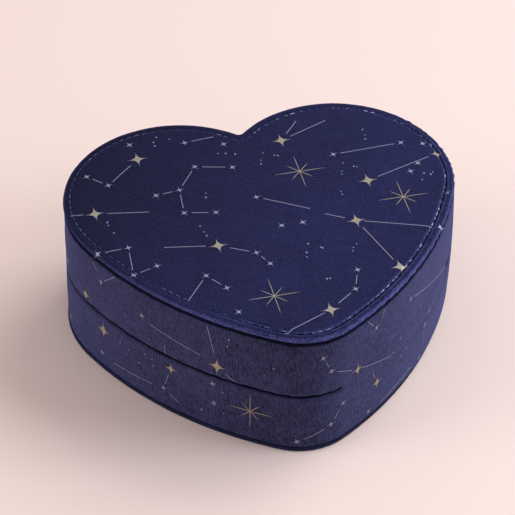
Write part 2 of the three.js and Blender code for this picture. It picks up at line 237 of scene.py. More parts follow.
def locate(places):
    """How far in from the outline each place in plan is, and its arc length."""
    places = np.asarray(places, float)
    right = np.column_stack([np.abs(places[:, 0]), places[:, 1]])
    insets = np.full(len(places), np.inf)
    along = np.zeros(len(places))
    for start, (centre, radius, a, b) in zip(knots(VELVET_INSET), ARCS):
        gap = (right - centre) * np.sign(radius)
        facing = np.arctan2(gap[:, 1], gap[:, 0])
        inset = radius - np.sign(radius) * np.linalg.norm(gap, axis=1)
        hit = (facing >= min(a, b) - 1e-6) & (facing <= max(a, b) + 1e-6) & (inset < insets)
        insets[hit] = inset[hit]
        along[hit] = start + abs(radius - VELVET_INSET) * np.abs(facing[hit] - a)
    return insets, along * np.where(places[:, 0] < 0, -1, 1)


def girth(inset):
    return 2 * knots(inset)[-1]


# The hinge lies on the second arc, where the wall faces along the hinge's normal.
HINGE_S = knots(VELVET_INSET)[1] + (SIDE_R - VELVET_INSET) * (HINGE_NORMAL - SIDE_END)


def wobble(s, waves, seed):
    """A smooth irregular curve between about -1 and 1 along s, which closes on itself round the heart."""
    random = np.random.default_rng(seed)
    turns = np.asarray(s, float) / girth(VELVET_INSET)
    total = np.zeros_like(turns)
    for wave in waves:
        total += np.sin(2 * math.pi * (wave * turns + random.random()))
    return total / math.sqrt(len(waves))


def smooth(x, start, end):
    t = np.clip((x - start) / (end - start), 0, 1)
    return t * t * (3 - 2 * t)


def bell(x, middle, reach):
    """1 at the middle, fading away on either side of it."""
    return np.exp(-(((x - middle) / reach) ** 2))


# -------- meshes


def add_mesh(name, points, faces, material, body=None, replaces=(), smooth_shade=True):
    """A piece from points in millimetres. It rides on body, and stands for the CAD nodes in replaces."""
    mesh = bpy.data.meshes.new(name)
    mesh.from_pydata((np.asarray(points, float) * MM).tolist(), [], faces)
    mesh.update()
    if smooth_shade:
        mesh.polygons.foreach_set("use_smooth", [True] * len(mesh.polygons))
    mesh.materials.append(material)
    piece = bpy.data.objects.new(name, mesh)
    bpy.context.scene.collection.objects.link(piece)
    if body:
        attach(piece, body)
    if replaces:
        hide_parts(*replaces)
    return piece


def quads(rows, columns, wrap_rows=False, wrap_columns=True):
    """Faces of a grid of points that runs row by row."""
    faces = []
    for i in range(rows if wrap_rows else rows - 1):
        low, high = i * columns, (i + 1) % rows * columns
        for j in range(columns if wrap_columns else columns - 1):
            k = (j + 1) % columns
            faces.append((low + j, low + k, high + k, high + j))
    return faces


def turned(faces, turn=True):
    """The faces, made to look the other way if turn is true."""
    return [face[::-1] for face in faces] if turn else faces


def tube_of(rings):
    """Points and faces of a closed ring-shaped solid whose cross-section goes round through the rings."""
    return np.concatenate(rings), quads(len(rings), len(rings[0]), wrap_rows=True)


def strip_of(rings):
    """As tube_of, for a strip with two ends."""
    columns = len(rings[0])
    faces = quads(len(rings), columns, wrap_rows=True, wrap_columns=False)
    ends = [i * columns for i in range(len(rings))]
    faces.append(tuple(ends))
    faces.append(tuple(i + columns - 1 for i in reversed(ends)))
    return np.concatenate(rings), faces


def skin_of(rings):
    """Points and faces of a closed solid from rings that go from one pole to the other."""
    columns = len(rings[0])
    points = np.concatenate(rings)
    faces = quads(len(rings), columns)
    last = (len(rings) - 1) * columns
    low, high = len(points), len(points) + 1
    for j in range(columns):
        k = (j + 1) % columns
        faces.append((k, j, low))
        faces.append((last + j, last + k, high))
    return np.vstack([points, rings[0].mean(0), rings[-1].mean(0)]), faces


MIDDLE = np.array([0.0, 5.0])


def shrunk(ring, share):
    """The ring drawn in towards the middle of the heart."""
    inner = ring.copy()
    inner[:, :2] = MIDDLE + (ring[:, :2] - MIDDLE) * share
    return inner


# -------- materials


def linear(*screen):
    """A colour from its 8-bit screen values."""
    parts = [value / 255 for value in screen]
    return (*(p / 12.92 if p <= 0.04 else ((p + 0.055) / 1.055) ** 2.4 for p in parts), 1)


class Shader:
    """A node material whose texture space is in millimetres."""

    def __init__(self, name, colour, roughness, **settings):
        self.material = bpy.data.materials.new(name)
        self.material.use_nodes = True
        self.tree = self.material.node_tree
        self.surface = self.tree.nodes["Principled BSDF"]
        self.finish(Base_Color=colour, Roughness=roughness, **settings)
        coordinates = self.node("ShaderNodeTexCoord")
        self.space = coordinates.outputs["Object"]
        self.normal = coordinates.outputs["Normal"]

    def set(self, node, socket, value):
        if isinstance(value, bpy.types.NodeSocket):
            self.tree.links.new(value, node.inputs[socket])
        else:
            node.inputs[socket].default_value = value

    def finish(self, **settings):
        """Sets the surface's own sockets, or links them to another node's output."""
        for socket, value in settings.items():
            self.set(self.surface, socket.replace("_", " "), value)

    def node(self, kind, inputs=None, **settings):
        made = self.tree.nodes.new(kind)
        for key, value in settings.items():
            setattr(made, key, value)
        for socket, value in (inputs or {}).items():
            self.set(made, socket, value)
        return made

    def noise(self, size, detail=3.0, stretch=(1, 1, 1)):
        """Noise whose features are about size millimetres, longer along each axis by its stretch."""
        scale = [1 / (MM * size * s) for s in stretch]
        mapping = self.node("ShaderNodeMapping", {"Vector": self.space, "Scale": scale})
        inputs = {"Vector": mapping.outputs["Vector"], "Scale": 1.0, "Detail": detail}
        return self.node("ShaderNodeTexNoise", inputs).outputs["Fac"]

    def ramp(self, value, low, high, start=0.0, end=1.0):
        """value's stretch from low to high, turned into start to end."""
        inputs = {"Value": value, "From Min": low, "From Max": high, "To Min": start, "To Max": end}
        return self.node("ShaderNodeMapRange", inputs).outputs["Result"]

    def facing_up(self):
        """How far a face looks along +Z, from -1 to 1."""
        return self.node("ShaderNodeSeparateXYZ", {0: self.normal}).outputs["Z"]

    def along(self, direction):
        """Distance along a direction, in millimetres."""
        inputs = {0: self.space, 1: [part / MM for part in direction]}
        return self.node("ShaderNodeVectorMath", inputs, operation="DOT_PRODUCT").outputs["Value"]

    def math(self, operation, a, b):
        return self.node("ShaderNodeMath", {0: a, 1: b}, operation=operation).outputs["Value"]

    def mix(self, factor, a, b, blend="MIX"):
        inputs = {0: factor, 6: a, 7: b}
        return self.node("ShaderNodeMix", inputs, data_type="RGBA", blend_type=blend).outputs[2]

    def bump(self, height, distance, strength=1.0):
        inputs = {"Height": height, "Distance": distance * MM, "Strength": strength}
        self.finish(Normal=self.node("ShaderNodeBump", inputs).outputs["Normal"])


def velvet(
    name, deep, raised, sheen, stretch, streaks, sheen_weight=0.6, painted_shade_up=None, grain=0.42, brushed=None
):
    """Short pile: clumps of raised pile over the deep colour, with stretch and streaks along the nap.
    The pair of colours given for faces that look up is painted shade: the top comes out darker than its
    rolled rim, whose lighter colours are painted light. grain is the size of a clump. brushed is a
    direction and the two distances along it over which a painted shade fades out, full before the first."""
    shader = Shader(
        name, deep, 0.9, Specular_IOR_Level=0.1, Sheen_Weight=sheen_weight, Sheen_Roughness=0.35,
        Sheen_Tint=sheen,
    )
    # Painted shade on faces that look up, and painted light on the sides of the rolled rim.
    if painted_shade_up:
        flat = shader.ramp(shader.facing_up(), 0.6, 0.985)
        deep = shader.mix(flat, deep, painted_shade_up[0])
        raised = shader.mix(flat, raised, painted_shade_up[1])
    clumps = shader.ramp(shader.noise(grain, 3.0, stretch), 0.36, 0.68)
    fibres = shader.ramp(shader.noise(0.18, 2.0, stretch), 0.3, 0.75)
    clouds = shader.ramp(shader.noise(22, 2.0), 0.35, 0.7)
    pile = shader.ramp(shader.noise(3.2, 2.0), 0.4, 0.75, -0.08, 0.16)
    for layer, share in ((clumps, streaks), (clouds, 0.2), (fibres, 0.35)):
        pile = shader.math("ADD", pile, shader.math("MULTIPLY", layer, share))
    colour = shader.mix(pile, deep, raised)
    # Painted shade: the colour darkens towards the low end of the distance along brushed.
    if brushed:
        unshaded_share = shader.ramp(shader.along(brushed[0]), *brushed[1:])
        shaded = shader.mix(1.0, colour, linear(36, 36, 54), "MULTIPLY")
        colour = shader.mix(unshaded_share, shaded, colour)
    shader.finish(Base_Color=colour)
    shader.bump(shader.math("ADD", clumps, fibres), 0.12, 0.8)
    return shader.material


def foil(name, bright, worn, wear):
    """Champagne foil on pile, broken where fibres stand through it. wear is the share that is worn."""
    shader = Shader(name, bright, 0.5, Metallic=0.45)
    broken = shader.ramp(shader.noise(0.4, 3.0), 0.72 - 0.3 * wear, 0.86 - 0.3 * wear)
    shader.finish(Base_Color=shader.mix(broken, bright, worn))
    shader.finish(Roughness=shader.ramp(broken, 0, 1, 0.45, 0.85))
    shader.bump(shader.noise(0.3, 2.0), 0.05, 0.5)
    return shader.material


def thread_material():
    """Glossy navy thread, with pale glints painted on in patches, most of all on its +X side."""
    glint = linear(170, 185, 255)
    shader = Shader("thread", linear(24, 26, 62), 0.28, Specular_IOR_Level=0.8, Specular_Tint=glint)
    ply = shader.noise(0.25, 1.0, (1, 1, 2))
    # Painted highlight: pale glints in patches, most of all on the +X side, towards the right light.
    glint_side = shader.ramp(shader.along((1, 0, 0)), -20, 40, 0.15, 1.0)
    worn = shader.math("MULTIPLY", glint_side, shader.ramp(shader.noise(3.0, 1.0), 0.5, 0.6))
    dark = shader.mix(ply, linear(18, 19, 54), linear(36, 39, 92))
    shader.finish(Base_Color=shader.mix(worn, dark, linear(176, 180, 216)))
    shader.bump(ply, 0.05)
    return shader.material


def flecked(name, dark, pale, roughness, pattern, edges, relief, **settings):
    """A material mottled from dark to pale. pattern holds what noise() takes, edges the two levels of
    the noise that are dark and pale, and relief the height of the pale parts."""
    shader = Shader(name, dark, roughness, **settings)
    fleck = shader.ramp(shader.noise(*pattern), *edges)
    shader.finish(Base_Color=shader.mix(fleck, dark, pale))
    shader.bump(fleck, relief)
    return shader.material


def metal(name, colour, roughness):
    shader = Shader(name, colour, roughness, Metallic=1.0)
    brushed = shader.noise(0.2, 2.0, (1, 1, 6))
    shader.finish(Roughness=shader.ramp(brushed, 0.3, 0.7, roughness - 0.06, roughness + 0.1))
    shader.bump(brushed, 0.01)
    return shader.material


# The top's velvet: painted shade on faces that look up and towards the left and back, painted light on the
# roll.
TOP_VELVET = velvet(
    "velvet_top", linear(14, 14, 44), linear(86, 90, 154), linear(120, 125, 212), (1, 1, 1), 0.75,
    painted_shade_up=(linear(8, 8, 32), linear(36, 37, 80)), grain=0.55, brushed=((0.75, -0.65, 0), -80, 15),
)
SIDE_VELVET = velvet(
    "velvet_side", linear(12, 12, 32), linear(60, 60, 96), linear(136, 142, 222), (1, 1, 4), 0.72, 0.75,
    grain=0.38,
)
# Painted shade: near-black velvet laid in the groove under the top's rim, in the seam and in the sewn crease.
SHADE_PAINTED_VELVET = velvet(
    "velvet_pressed", linear(7, 7, 20), linear(24, 24, 54), linear(60, 62, 110), (1, 1, 1), 0.6, 0.1
)
# Painted shade: the bottom panel's velvet is darker and duller than the walls', as if in shadow under the
# case.
BOTTOM_SHADED_VELVET = velvet(
    "velvet_bottom", linear(14, 14, 36), linear(40, 41, 74), linear(100, 104, 165), (1, 1, 1), 0.6, 0.4
)
LINING = velvet(
    "lining_velour", linear(34, 37, 74), linear(60, 64, 112), linear(120, 125, 200), (1, 1, 1.5), 0.6
)
# Copies of one foil: the wall copies are painted darker and warmer than the top's, as painted reflection.
TOP_FOIL = foil("foil_top_stars", linear(162, 155, 142), linear(90, 86, 104), 0.45)
TOP_LINE_FOIL = foil("foil_top_lines", linear(148, 151, 176), linear(80, 83, 114), 0.45)
WALL_FOIL = foil("foil_wall_stars", linear(158, 143, 120), linear(80, 73, 88), 0.6)
WALL_LINE_FOIL = foil("foil_wall_lines", linear(138, 138, 158), linear(76, 75, 104), 0.65)
THREAD = thread_material()
ELASTIC = flecked(
    "elastic", linear(26, 28, 60), linear(58, 62, 108), 0.6, (0.5, 1.0, (1, 1, 4)), (0, 1), 0.08,
    Sheen_Weight=0.3, Sheen_Tint=linear(120, 125, 190),
)
GREYBOARD, NAVY_BOARD = (
    flecked(name, dark, pale, 0.9, (0.6, 5.0), (0.35, 0.7), 0.04)
    for name, dark, pale in (
        ("greyboard", linear(128, 123, 116), linear(168, 163, 155)),
        ("navy_board", linear(12, 12, 30), linear(24, 25, 50)),
    )
)
FOAM = flecked("foam", linear(205, 198, 180), linear(238, 233, 220), 0.95, (0.8, 2.0), (0, 1), 0.3)
MAGNET = metal("magnet_nickel", linear(190, 190, 194), 0.3)
STUD = metal("stud_metal", linear(205, 186, 145), 0.28)


def velour(name, points, faces, body, node):
    """A lining piece, which stands for one CAD node."""
    return add_mesh(name, points, faces, LINING, body, [node])


def press(piece, rings, stations):
    """Paints shade on the faces after some of a piece's rings, at some stations, with the dark velvet."""
    piece.data.materials.append(SHADE_PAINTED_VELVET)
    for ring in rings:
        for station in np.flatnonzero(stations):
            piece.data.polygons[ring * HEART.count + int(station)].material_index = 1


def finish_cad_nodes():
    """The pieces hidden inside keep their CAD shape and get their own materials."""
    finishes = {"panel_board": GREYBOARD, "wall_board": NAVY_BOARD, "foam": FOAM, "magnet": MAGNET}
    for name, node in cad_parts.items():
        for word, material in finishes.items():
            if word in name:
                node.data.materials.clear()
                node.data.materials.append(material)


# -------- padded end panels


def tightness(s):
    """1 round the tip and along the hinge side, where the sewing is pulled tight, and less elsewhere."""
    return 0.1 + 0.9 * smooth(s, -45, 0) * (1 - smooth(s, 120, 150))


@dataclass
class Cover:
    """A panel's cover. Its levels run from its underside, at foot, to its face, up or down. pull is how
    far its rim is drawn in round the lobes, dip the depth of its sewn channel, puff the fullness of the
    rim, crown the rise of its middle, and ripple how strongly the rim is gathered."""

    name: str
    foot: float
    up: int
    inset: float
    pull: float
    dip: float
    puff: float
    crown: float
    ripple: float
    seed: int

    def __post_init__(self):
        low, high = cad(f"{self.name}_cover")
        self.thickness = high[2] - low[2]
        self.roll_r = ROLL_SHARE * self.thickness

    def edge(self, s):
        """Inset of the outside of the rolled rim."""
        return self.inset + self.pull * sum(share * bell(s, *place) for share, *place in RIM_PULLS)

    def sewn(self, s):
        """Inset of the line of stitches, which runs nearer the edge round the left lobe of the top."""
        swing, *place = SEWN_SWING
        return STITCH_INSET - swing * (self.pull > 0) * bell(s, *place)

    def depth(self, s):
        """Depth of the sewn channel. Underneath it is the same all round, so that the case stands flat."""
        return self.dip * (tightness(s) if self.up > 0 else 1.0)

    def layer(self, part):
        """A filling's inset, underside and face, with a gap all round it."""
        node = f"{self.name}_{part}"
        low, high = sorted((corner[2] - self.foot) * self.up for corner in cad(node))
        return inset_of(node) - SEWN_GAP, low - SEWN_GAP, high + SEWN_GAP

    def pocket(self):
        """[inset, level] round the space for the filling, from its middle out and down to the flap."""
        edge, low, high = self.layer("board")
        if f"{self.name}_foam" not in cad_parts:
            return [(edge, high), (edge, low)]
        foam_edge, _, foam_high = self.layer("foam")
        return [(foam_edge, foam_high), (foam_edge, high), (edge, high), (edge, low)]

    def gather(self, s, across):
        """How the cloth of the rolled rim swells and draws in. Its wrinkles run aslant over the roll:
        across is the distance over it, inwards from its top."""
        slow = SWELL * wobble(s, [13, 19, 29], self.seed)
        wrinkles = WRINKLE * wobble(s + WRINKLE_SLANT * across, [61, 83, 107, 131, 149], self.seed + 1)
        return self.ripple * (slow + wrinkles * tightness(s))

    def height(self, inset, s):
        """Height of the face over the CAD panel's."""
        inset = np.asarray(inset, float)
        from_roll = inset - self.edge(s) - self.roll_r
        reach = np.clip(-from_roll, 0, self.roll_r)
        round_over = np.sqrt(self.roll_r**2 - reach**2) - self.roll_r
        at_needle = 0.5 + 0.5 * np.cos(2 * math.pi * to_run(s) / STITCH_PITCH)
        crease = inset - self.sewn(s) + CREASE_OUT
        channel = bell(crease, 0, np.where(crease < 0, *CREASE_REACH)) * (0.8 + 0.2 * at_needle)
        ripple = self.gather(s, from_roll) * bell(from_roll, 0, 1.3)
        full = self.puff * tightness(s) * bell(from_roll, 0.3, 0.7)
        crown = self.crown * (1 - np.exp(-np.clip(inset - STITCH_INSET, 0, None) / CROWN_REACH))
        return round_over - channel * self.depth(s) + ripple + full + crown

    def rim(self):
        """Rings round the outside of the rolled rim, from its underside up."""
        middle = self.edge(HEART.s) + self.roll_r
        rings = []
        for angle in np.radians(np.linspace(90, RIM_END, 18)):
            out, up = math.cos(angle), -math.sin(angle)
            swell = self.gather(HEART.s, self.roll_r * (angle - 1.5 * math.pi))
            radius = self.roll_r + swell * max(0.0, -out)
            rings.append(HEART.ring(middle + out * radius, self.thickness - self.roll_r + up * radius))
        return rings

    def skin(self):
        """The whole closed skin: the space for the filling, the turned-in flap, the rim and the face. It
        also gives the numbers of the rings before the faces along the sewn crease that get painted shade."""
        pocket = self.pocket()
        rings = [shrunk(HEART.ring(*pocket[0]), share) for share in (0.3, 0.7)]
        flap = [(TURN_IN, pocket[-1][1]), (TURN_IN, 0.15), (4.0, 0.05), (2.9, 0.0)]
        rings += [HEART.ring(inset, level) for inset, level in pocket + flap]
        edge = self.edge(HEART.s)
        lip = edge + self.roll_r
        rings += [HEART.ring(lip + 0.2, -0.1), HEART.ring(lip + 0.05, 0.0)]
        rings += self.rim()
        first = self.roll_r * (1 - math.cos(math.radians(RIM_END - 180))) + 0.1
        shaded_rings = []
        for inset in [*np.linspace(first, 6.4, 34), 6.9, 7.6, 8.6, 10.0]:
            # Painted shade along the sewn crease.
            if abs(inset - STITCH_INSET + CREASE_OUT) < PAINTED_SHADE_HALF:
                shaded_rings.append(len(rings))
            inset = inset + edge * (1 - smooth(inset, first, STITCH_INSET - 0.5))
            rings.append(HEART.ring(inset, self.thickness + self.height(inset, HEART.s)))
        face = rings[-1]
        for share in (0.93, 0.85, 0.76, 0.66, 0.55, 0.43, 0.31, 0.19, 0.08):
            inner = shrunk(face, share)
            inner[:, 2] = self.thickness + self.height(*locate(inner[:, :2]))
            rings.append(inner)
        points, faces = skin_of(rings)
        points[:, 2] = self.foot + self.up * points[:, 2]
        return points, turned(faces, self.up < 0), shaded_rings

    def stitch(self, middle):
        """Points and faces of one stitch: a short bow of thread that dives in at both ends."""
        rings = []
        for share in np.linspace(-1, 1, 7):
            s = from_run(middle + share * STITCH_LENGTH / 2)
            sewn = self.sewn(s)
            place, normal = wall_point(s, sewn)
            level = self.thickness + self.height(sewn, s) + STITCH_RISE - STITCH_DIVE * share**4
            radius = THREAD_R * (1 - 0.4 * share**6)
            turns = np.linspace(0, 2 * math.pi, 6, endpoint=False)
            flat = place + normal * (radius * np.cos(turns))[:, None]
            z = self.foot + self.up * (level + radius * np.sin(turns))
            rings.append(np.column_stack([flat, z]))
        return skin_of(rings)

    def stitches(self, name, body):
        """Separate stitches all round the panel."""
        count = round(girth(STITCH_INSET) / STITCH_PITCH)
        points, faces = [], []
        for k in range(count):
            stitch, stitch_faces = self.stitch((k + 0.5) * girth(STITCH_INSET) / count)
            faces.extend(tuple(v + len(points) for v in face[:: self.up]) for face in stitch_faces)
            points.extend(stitch)
        return add_mesh(name, points, faces, THREAD, body, [f"{self.name}_stitching"])


TOP_COVER = Cover(
    "top_panel", COVER_Z, 1, inset=0.0, pull=0.8, dip=1.1, puff=0.2, crown=0.2, ripple=1.0, seed=11
)
BOTTOM_COVER = Cover(
    "bottom_panel", BOTTOM_T, -1, inset=0.6, pull=0.0, dip=0.75, puff=0.0, crown=-0.1, ripple=0.2, seed=23
)


def build_panels():
    for cover, body, cloth in ((TOP_COVER, "lid", TOP_VELVET), (BOTTOM_COVER, "base", BOTTOM_SHADED_VELVET)):
        side = cover.name.split("_")[0]
        points, faces, shaded_rings = cover.skin()
        skin = add_mesh(f"{side}_cover", points, faces, cloth, body, [f"{cover.name}_cover"])
        # Painted shade in the crease, where the sewing is tight.
        press(skin, shaded_rings, tightness(HEART.s) > 0.8)
        cover.stitches(f"{side}_stitches", body)


# -------- velvet walls


def at_seam(z):
    """1 at the seam, 0 from the edges of the hinge cloth on."""
    return 1 - smooth(np.abs(z - SEAM_Z), 1.0, HINGE_REACH)


def slack(s, z):
    """How far the cloth stands out from the wall, where it runs loose over the hinge."""
    return HINGE_SLACK * bell(s, SLACK_S, 45) * (1 - 0.5 * ((z - SEAM_Z) / 22) ** 2)


def beyond_hinge(s):
    """0 over the cloth hinge, 1 where the two halves come apart."""
    return smooth(np.abs(s - HINGE_S), HINGE_HALF - HINGE_FADE, HINGE_HALF)


@dataclass
class Wall:
    """The velvet round one half's wall. Levels are heights from its foot, at the panel, to its rim.
    ledge is the depth of the groove left under the panel, shoulder the height of the rounding beside
    it, and tuck how far the foot is drawn in."""

    foot: float
    rim: float
    ledge: float
    shoulder: float
    tuck: float
    seed: int

    def __post_init__(self):
        self.up = math.copysign(1, self.rim - self.foot)
        self.height = abs(self.rim - self.foot)

    def edge(self, s):
        """Level of the rim: slightly uneven where the cloth is turned over it."""
        uneven = RIM_UNEVEN * wobble(s, [23, 37, 61, 83], self.seed)
        return self.height + (uneven - RIM_SHORT) * beyond_hinge(s)

    def fold(self, s):
        """Radius of the turned edge, which opens out flat where the cloth runs on over the hinge."""
        return SHARP_R + (FOLD_R - SHARP_R) * beyond_hinge(s)

    def inset(self, s, level):
        """Inset of the outer face: drawn in at the foot and rounded over at the rim. Near the seam it lies
        flat under the hinge cloth, to leave room for the cloth's fold when the case is open."""
        bulge = WALL_BULGE * wobble(s, [5, 9, 14], self.seed + 1) * np.sin(math.pi * level / self.height)
        low = np.clip((self.ledge + self.shoulder - level) / self.shoulder, 0, 1)
        high = np.clip((self.fold(s) - self.edge(s) + level) / self.fold(s), 0, 1)
        drawn_in = self.tuck * (1 - np.sqrt(1 - low**2)) + self.fold(s) * (1 - np.sqrt(1 - high**2))
        z = self.foot + self.up * level
        loose = slack(s, z) * (1 - at_seam(z) * (1 - beyond_hinge(s)))
        return VELVET_INSET - loose - bulge + drawn_in

    def ring(self, level, inset=None):
        inset = self.inset(HEART.s, level) if inset is None else inset
        return HEART.ring(inset, self.foot + self.up * level)

    def skin(self):
        """The whole closed strip: up its outside, over the rim and down behind. It also gives the numbers
        of the rings before the faces in the groove and in the seam that get painted shade."""
        s = HEART.s
        edge, fold = self.edge(s), self.fold(s)
        face = self.ledge + self.shoulder
        back = VELVET_INSET + VELVET_T
        rings = [self.ring(level, back - 0.1) for level in sorted({0.0, self.ledge})]
        # Painted shade in the groove under the panel's rim.
        shaded_rings = [0, 1] if self.ledge else []
        lip = LIP_UNEVEN * wobble(s, [17, 31, 47, 71, 103], self.seed + 2) if self.ledge else 0.0
        for level in np.linspace(self.ledge, face, 7):
            rings.append(self.ring(level + lip * (1 - (level - self.ledge) / 2), self.inset(s, level)))
        rings += [self.ring(level) for level in np.linspace(face, self.height - 1.7, 13)[1:]]
        rings += [self.ring(edge - fold * (1 - math.sin(a))) for a in np.radians(np.linspace(0, 90, 8))]
        # Painted shade over the turned edge and the rim, in the seam.
        shaded_rings += [len(rings) - 2, len(rings) - 1, len(rings)]
        inside = self.height - RIM_T
        for level, inset in ((edge, RIM_IN - 0.5), (edge - 0.1, RIM_IN - 0.1), (edge - 0.3, RIM_IN)):
            rings.append(self.ring(level, inset))
        rings += [self.ring(inside, RIM_IN), self.ring(inside, back), self.ring(0.0, back)]
        points, faces = tube_of(rings)
        return points, turned(faces, self.up > 0), shaded_rings


BASE_WALL = Wall(BOTTOM_T + SEWN_GAP / 2, BASE_RIM, ledge=0.0, shoulder=0.7, tuck=0.35, seed=31)
LID_WALL = Wall(LID_Z, LID_RIM, ledge=1.15, shoulder=0.5, tuck=0.3, seed=41)


def build_walls():
    for name, wall in (("base", BASE_WALL), ("lid", LID_WALL)):
        points, faces, shaded_rings = wall.skin()
        band = add_mesh(
            f"{name}_band", points, faces, SIDE_VELVET, name, [f"{name}_velvet_band"]
        )
        # Painted shade in the groove and in the seam.
        press(band, shaded_rings, np.ones(HEART.count, bool))
    build_lining("base", BASE_Z, BASE_RIM)
    build_lining("lid", LID_Z, LID_RIM)


def build_lining(name, foot, rim):
    """The lining's wall, with a soft rounded edge at the rim."""
    up = math.copysign(1, rim - foot)
    height = abs(rim - foot)
    radius = LINING_T / 2
    inner = LINING_INSET + LINING_T
    profile = [(LINING_INSET, level) for level in np.linspace(0, height - radius, 6)]
    for angle in np.radians(np.linspace(180, 0, 9))[1:-1]:
        out, over = math.cos(angle), math.sin(angle)
        profile.append((LINING_INSET + radius + radius * out, height - radius + radius * over))
    profile += [(inner, level) for level in np.linspace(height - radius, 0, 10)]
    sag = 0.06 * wobble(HEART.s, [7, 11, 17, 26], 51)
    rings = []
    for inset, level in profile:
        drape = sag * math.sin(math.pi * level / height) if inset == inner else 0.0
        rings.append(HEART.ring(inset - drape, foot + up * level))
    points, faces = tube_of(rings)
    faces = turned(faces, up > 0)
    node = f"{name}_lining"
    lining = velour(f"{name}_lining_cloth", points, faces, name, node)


# -------- cloth hinge

HINGE_AT, HINGE_OUT = wall_point(HINGE_S, VELVET_INSET)
AWAY = -HINGE_OUT
ALONG = np.array([AWAY[1], -AWAY[0]])


def from_hinge(along, away):
    """A place in plan, from how far it is along the hinge and away from it."""
    return HINGE_AT + ALONG * along + AWAY * away


def bend_at_hinge(piece, half):
    """Bakes a piece's placing into its mesh. The hinge line's ends, half below and half above the seam,
    are worked out but not used, so the piece is not bent.
    """
    start = Vector([*HINGE_AT, SEAM_Z - half]) * MM
    end = Vector([*HINGE_AT, SEAM_Z + half]) * MM
    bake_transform(piece)


def hinge_strip(name, rows, outer, inner, material, node, bend):
    """Cloth over the seam. outer and inner give its faces' insets from the distance along it from its
    middle, and from the height over the seam."""
    steps = np.linspace(-HINGE_HALF, HINGE_HALF, 91)
    rings = []
    for face, levels in ((outer, rows), (inner, rows[::-1])):
        for level in levels:
            places = [wall_point(HINGE_S + step, face(step, level))[0] for step in steps]
            rings.append([[*place, SEAM_Z + level] for place in places])
    points, faces = strip_of(rings)
    strip = add_mesh(name, points, turned(faces), material, None, [node])
    bend_at_hinge(strip, bend)


def hinge_face(s, z):
    """Inset of the hinge cloth's outer face. Its edges dive in under the walls' velvet on all sides."""
    end = beyond_hinge(s)
    return VELVET_INSET - slack(s, z) * (1 - end) - 0.03 + 0.2 * end + 0.15 * (1 - at_seam(z))


def build_hinge():
    def velvet_outer(step, level):
        return hinge_face(HINGE_S + step, SEAM_Z + level)

    def velvet_inner(step, level):
        return velvet_outer(step, level) + HINGE_VELVET_T

    close = [0.05, 0.12, 0.2, 0.28, 0.4, 0.8, 1.5, 2.4, 3.3, 4.2, HINGE_REACH]
    rows = [-level for level in reversed(close)] + close
    hinge_strip(
        "hinge_velvet", rows, velvet_outer, velvet_inner, SIDE_VELVET, "hinge_cloth", VELVET_BEND
    )

    inner_edge = LINING_INSET + LINING_T

    def lining_outer(step, level):
        return inner_edge + 0.05

    def lining_inner(step, level):
        taper = smooth(abs(step), 0.85 * HINGE_HALF, HINGE_HALF) + smooth(abs(level), 4.5, HINGE_LINING_REACH)
        return inner_edge + 0.75 - 0.5 * min(1.0, taper) + 0.05 * math.sin(abs(step) / 4 + level)

    rows = list(np.linspace(-HINGE_LINING_REACH, HINGE_LINING_REACH, 33))
    hinge_strip(
        "hinge_inner_cloth", rows, lining_outer, lining_inner, LINING, "hinge_lining",
        LINING_BEND,
    )


# -------- foil print

FOIL_LIFT = 0.1
FOIL_SINK = 0.04
LINE_W = 0.22
STARS = {"large": (3.4, 3.9, 4.6), "medium": (2.5, 3.0, 4.6), "small": (1.65, 1.8, 4.8)}
STAR_GAP = {"large": 3.9, "medium": 3.2, "small": 2.4, "gap": 2.4, "end": 0.0}
BURST_RAYS = (8.5, 5.0)
WALL_BURST_RAYS = (7.6, 4.4)
PRINT_SHIFT = np.array([0.0, -0.8])

# Chains of stars with thin lines between them. An "end" is a line's free end, and a "gap" is a star
# that another chain has already drawn. On the lid's top the places are X and Y.
TOP_CHAINS = [
    [("small", -54, 36), ("small", -48, 30), ("large", -36, 41)],
    [("end", -63, 18), ("large", -55, 17), ("end", -38, 14)],
    [("small", -19, 46), ("end", -9, 47)],
    [("small", -34, 21.5), ("small", -26, 22.5), ("small", -18.5, 33), ("small", -6.5, 30)],
    [("gap", -26, 22.5), ("small", -27, 11), ("small", -17, 9)],
    [("end", -37, -4), ("large", -20, -7), ("small", -9, -13), ("small", -6, -19)],
    [("small", -58, -2), ("small", -48, -1.5), ("small", -49, -14.5), ("small", -41, -12)],
    [("end", -35, -30), ("small", -27, -20), ("small", -22, -27)],
    [("small", -2.5, 13.5), ("end", 13, 4)],
    [("end", 17, 0.5), ("large", 26, -5), ("large", 33.5, -29.5)],
    [("gap", 26, -5), ("small", 51.5, -14)],
    [("small", 27.5, 29), ("small", 51, 30)],
    [("large", 35, 13.5), ("medium", 61, 22)],
    [("small", 20, -28), ("small", 17, -36.5), ("large", 7, -44)],
    [("gap", 7, -44), ("end", -9.5, -51)],
    [("end", 20, 49), ("large", 12.5, 40), ("end", 29.5, 47)],
    [("small", -37, 49)],
    [("small", -6.5, 42.5)],
    [("small", 2, -2)],
    [("small", 9, -2)],
    [("small", -21, -38.5)],
    [("small", 58, 28)],
    [("small", 53.5, 18.5)],
    [("small", 50, 15)],
    [("small", 58.5, 2)],
]
TOP_BURSTS = [(14.5, 23), (44, 3), (-8.5, -34)]
